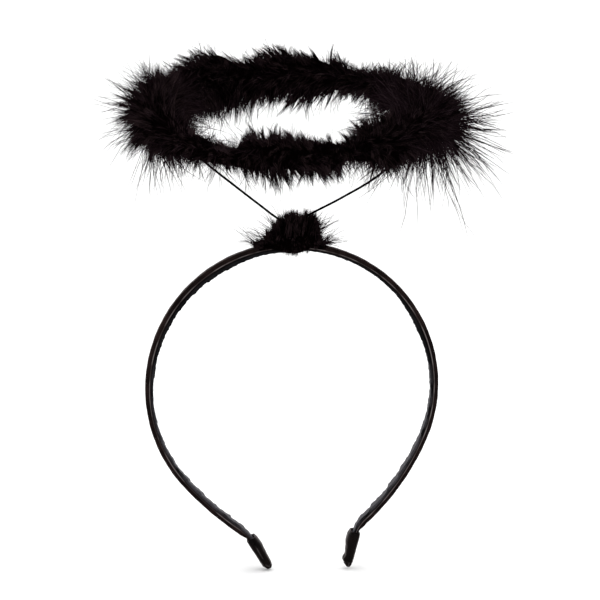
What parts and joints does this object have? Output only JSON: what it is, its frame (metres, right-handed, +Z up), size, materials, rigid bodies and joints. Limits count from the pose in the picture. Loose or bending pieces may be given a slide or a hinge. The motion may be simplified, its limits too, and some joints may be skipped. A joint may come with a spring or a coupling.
{
  "type": "halo headband",
  "caption": "Ribbon-covered head hoop with folded ribbon tips, carrying a ring of marabou feather above the head on wire stems.",
  "frame": {"origin": "crown seat: the middle of the hoop's inner ribbon at the top, where it rests on the head", "axes": "+Z up through the head to the feather ring, +X to the right as seen from the front, the front looks along -Y"},
  "size_m": [0.18, 0.1619, 0.2558],
  "materials": {
    "cover_ribbon": "black satin ribbon with a soft brownish sheen",
    "lining_ribbon": "black woven ribbon, greyer in the light, puckered",
    "wire": "thin black coat, slightly shiny",
    "marabou": "soft black down, brownish where light passes through it"
  },
  "bodies": {
    "root": {"headband": "cover_ribbon", "inner_ribbon": "lining_ribbon", "tip_wrap_left": "cover_ribbon", "tip_wrap_right": "cover_ribbon", "stem_left": "wire", "stem_right": "wire", "ring_wire": "wire", "feather_ring": "marabou", "feather_tuft": "marabou"}
  },
  "joints": []
}
